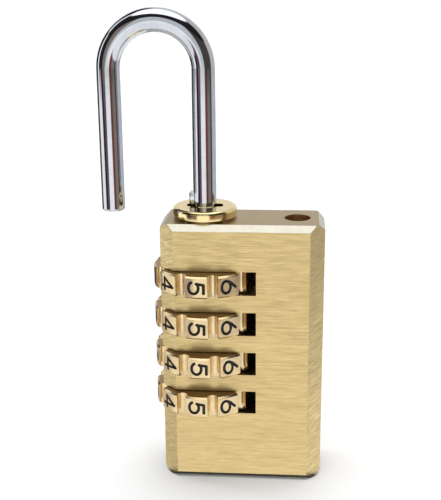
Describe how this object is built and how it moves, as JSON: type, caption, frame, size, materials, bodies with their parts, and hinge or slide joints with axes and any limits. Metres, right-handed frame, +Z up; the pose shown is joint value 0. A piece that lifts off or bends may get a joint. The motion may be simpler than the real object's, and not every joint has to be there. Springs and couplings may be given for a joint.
{
  "type": "combination padlock",
  "caption": "Combination padlock: slotted solid body with side number wheels and a sprung U-shaped shackle, raised and turned half round.",
  "frame": {"origin": "centre of the body's bottom face", "axes": "+X from the heel leg to the toe hole, +Y to the back, +Z up along the shackle's legs"},
  "size_m": [0.0411, 0.0194, 0.0881],
  "materials": {
    "body_brass": "fine horizontal brushing, matt on the top, polished top front chamfer",
    "wheel_brass": "polished, engraved numbers filled black",
    "gold_plate": "bright gold plate, mirror polished",
    "chrome": "mirror chrome",
    "steel": "turned, satin",
    "spring_steel": "dark drawn wire and strip"
  },
  "bodies": {
    "lock_body": {"lock_body": "body_brass", "heel_plug": "body_brass", "detent_plug": "body_brass", "detent_spring": "spring_steel", "collar_pin": "steel", "clutch_spring": "spring_steel", "shackle_spring": "spring_steel"},
    "shackle_carrier": {"spring_cap": "steel"},
    "shackle": {"shackle": "chrome", "retaining_ring": "spring_steel"},
    "reset_carriage": {"reset_collar": "gold_plate", "thrust_washer": "steel"},
    "wheel_1": {"number_wheel_1": "wheel_brass"},
    "hub_1": {"clutch_hub_1": "steel"},
    "wheel_2": {"number_wheel_2": "wheel_brass"},
    "hub_2": {"clutch_hub_2": "steel"},
    "wheel_3": {"number_wheel_3": "wheel_brass"},
    "hub_3": {"clutch_hub_3": "steel"},
    "wheel_4": {"number_wheel_4": "wheel_brass"},
    "hub_4": {"clutch_hub_4": "steel"}
  },
  "joints": [
    {"name": "shackle_lift", "type": "slide", "parent": "lock_body", "child": "shackle_carrier", "axis": [0, 0, -1], "range_m": [0, 0.00785], "stiffness_N_per_m": 100, "springref_m": -0.01, "deforming": ["shackle_spring"]},
    {"name": "shackle_swivel", "type": "hinge", "parent": "shackle_carrier", "child": "shackle", "pos_m": [-0.007, 0, 0.0097], "axis": [0, 0, 1], "continuous": true},
    {"name": "collar_press", "type": "slide", "parent": "lock_body", "child": "reset_carriage", "axis": [0, 0, 1], "range_m": [-0.0004, 0], "stiffness_N_per_m": 1000, "springref_m": 0.003, "deforming": ["clutch_spring"]},
    {"name": "wheel_1_spin", "type": "hinge", "parent": "lock_body", "child": "wheel_1", "pos_m": [-0.007, 0, 0.0398], "axis": [0, 0, 1], "continuous": true},
    {"name": "hub_1_slide", "type": "slide", "parent": "wheel_1", "child": "hub_1", "axis": [0, 0, 1], "range_m": [-0.0004, 0]},
    {"name": "wheel_2_spin", "type": "hinge", "parent": "lock_body", "child": "wheel_2", "pos_m": [-0.007, 0, 0.03195], "axis": [0, 0, 1], "continuous": true},
    {"name": "hub_2_slide", "type": "slide", "parent": "wheel_2", "child": "hub_2", "axis": [0, 0, 1], "range_m": [-0.0004, 0]},
    {"name": "wheel_3_spin", "type": "hinge", "parent": "lock_body", "child": "wheel_3", "pos_m": [-0.007, 0, 0.0241], "axis": [0, 0, 1], "continuous": true},
    {"name": "hub_3_slide", "type": "slide", "parent": "wheel_3", "child": "hub_3", "axis": [0, 0, 1], "range_m": [-0.0004, 0]},
    {"name": "wheel_4_spin", "type": "hinge", "parent": "lock_body", "child": "wheel_4", "pos_m": [-0.007, 0, 0.01625], "axis": [0, 0, 1], "continuous": true},
    {"name": "hub_4_slide", "type": "slide", "parent": "wheel_4", "child": "hub_4", "axis": [0, 0, 1], "range_m": [-0.0004, 0]}
  ],
  "couplings": [
    {"joint": "hub_1_slide", "follows": "collar_press", "ratio": 1},
    {"joint": "hub_2_slide", "follows": "collar_press", "ratio": 1},
    {"joint": "hub_3_slide", "follows": "collar_press", "ratio": 1},
    {"joint": "hub_4_slide", "follows": "collar_press", "ratio": 1}
  ]
}
